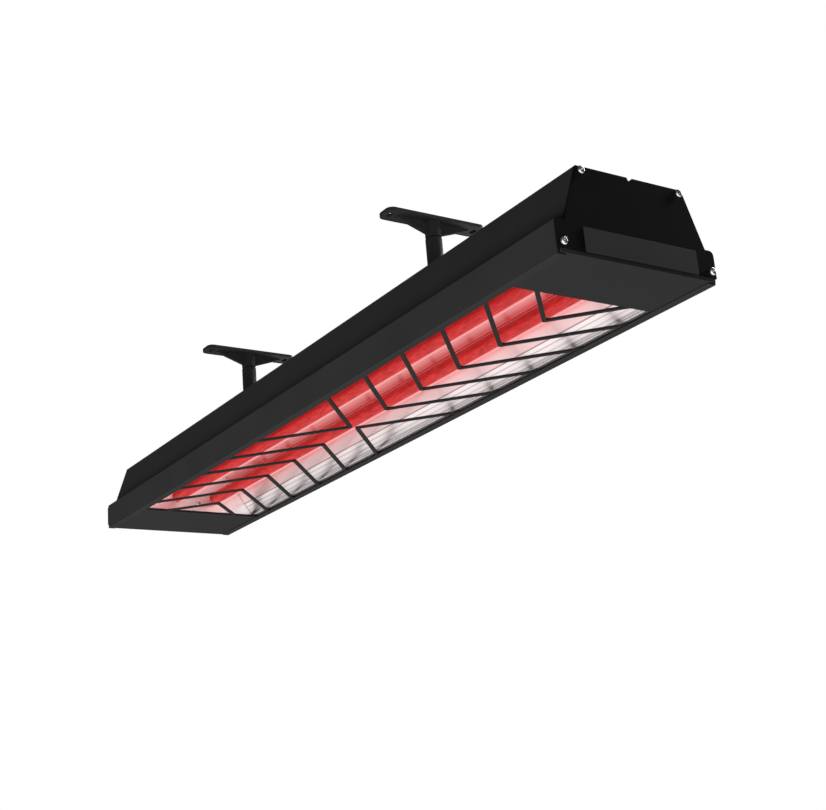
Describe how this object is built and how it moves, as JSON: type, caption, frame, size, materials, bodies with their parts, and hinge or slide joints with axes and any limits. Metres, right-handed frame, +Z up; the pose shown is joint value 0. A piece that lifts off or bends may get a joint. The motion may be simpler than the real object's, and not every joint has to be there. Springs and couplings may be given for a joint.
{
  "type": "ceiling infrared strip heater",
  "caption": "Ceiling-hung heat lamp warmer: an extruded housing with glowing quartz tubes behind a chevron guard, on posts that swivel, tilt and slide along its roof slot.",
  "frame": {"origin": "on the ceiling plane that the feet are screwed to, above the middle of the housing's length and width", "axes": "+X along the housing towards the end with the nameplate, -Y towards the front long side, +Z up; the heat goes down along -Z"},
  "size_m": [1.0842, 0.192, 0.188],
  "materials": {
    "black_extrusion": "extruded aluminium under a fine black powder coat, satin",
    "black_powder": "black powder coat, fine texture, satin",
    "black_satin": "deep black satin coat",
    "dark_plate": "blank dark grey anodised plate",
    "polished_aluminium": "bright rolled reflector sheet",
    "stainless": "turned stainless steel",
    "zinc": "zinc-plated steel",
    "red_quartz": "ruby-coated quartz tube, lit from inside",
    "glowing_coil": "emissive: glowing tungsten element",
    "steatite": "unglazed technical ceramic",
    "lead_sleeve": "heat-resistant braided glass sleeve",
    "earth_sleeve": "green and yellow earth sleeve",
    "black_nylon": "moulded black nylon"
  },
  "bodies": {
    "foot_left": {"foot_left": "black_powder", "grub_screw_left": "zinc"},
    "post_left": {"post_left": "black_powder"},
    "saddle_left": {"saddle_left": "black_powder", "slot_nut_left": "zinc", "clamp_screw_left_outer": "zinc", "clamp_screw_left_inner": "zinc", "pivot_screw_left": "zinc", "pivot_nut_left": "zinc"},
    "heater": {"block_screw_back": "stainless", "block_screw_front": "stainless", "cap_screw_left_low_back": "stainless", "cap_screw_left_low_front": "stainless", "cap_screw_left_top_back": "stainless", "cap_screw_left_top_front": "stainless", "cap_screw_right_low_back": "stainless", "cap_screw_right_low_front": "stainless", "cap_screw_right_top_back": "stainless", "cap_screw_right_top_front": "stainless", "earth_lead": "earth_sleeve", "earth_screw": "stainless", "end_cap_left": "black_satin", "end_cap_right": "black_satin", "end_reflector_left": "polished_aluminium", "end_reflector_right": "polished_aluminium", "gland_body": "black_nylon", "gland_dome_nut": "black_nylon", "gland_lock_nut": "black_nylon", "guard_panel": "black_powder", "heating_coil_back": "glowing_coil", "heating_coil_front": "glowing_coil", "housing": "black_extrusion", "lamp_end_back_left": "steatite", "lamp_end_back_right": "steatite", "lamp_end_front_left": "steatite", "lamp_end_front_right": "steatite", "lamp_support_left": "zinc", "lamp_support_right": "zinc", "lead_left_back": "lead_sleeve", "lead_left_front": "lead_sleeve", "lead_right_back": "lead_sleeve", "lead_right_front": "lead_sleeve", "nameplate": "dark_plate", "quartz_tube_back": "red_quartz", "quartz_tube_front": "red_quartz", "reflector": "polished_aluminium", "reflector_screw_left": "stainless", "reflector_screw_right": "stainless", "terminal_block": "steatite"},
    "saddle_right": {"saddle_right": "black_powder", "slot_nut_right": "zinc", "clamp_screw_right_outer": "zinc", "clamp_screw_right_inner": "zinc", "pivot_screw_right": "zinc", "pivot_nut_right": "zinc"},
    "post_right": {"post_right": "black_powder"},
    "foot_right": {"foot_right": "black_powder", "grub_screw_right": "zinc"}
  },
  "joints": [
    {"name": "swivel_left", "type": "hinge", "parent": "foot_left", "child": "post_left", "pos_m": [-0.25, 0, -0.0218], "axis": [0, 0, 1], "range_deg": [-90, 90]},
    {"name": "tilt_left", "type": "hinge", "parent": "post_left", "child": "saddle_left", "pos_m": [-0.25, 0, -0.076], "axis": [1, 0, 0], "range_deg": [-45, 45]},
    {"name": "slide_left", "type": "slide", "parent": "saddle_left", "child": "heater", "axis": [1, 0, 0], "range_m": [-0.15, 0.15]},
    {"name": "slide_right", "type": "slide", "parent": "heater", "child": "saddle_right", "axis": [1, 0, 0], "range_m": [-0.15, 0.15]},
    {"name": "tilt_right", "type": "hinge", "parent": "saddle_right", "child": "post_right", "pos_m": [0.21, 0, -0.076], "axis": [1, 0, 0], "range_deg": [-45, 45]},
    {"name": "swivel_right", "type": "hinge", "parent": "post_right", "child": "foot_right", "pos_m": [0.21, 0, -0.0218], "axis": [0, 0, 1], "range_deg": [-90, 90]}
  ],
  "couplings": [
    {"joint": "tilt_right", "follows": "tilt_left", "ratio": -1}
  ]
}
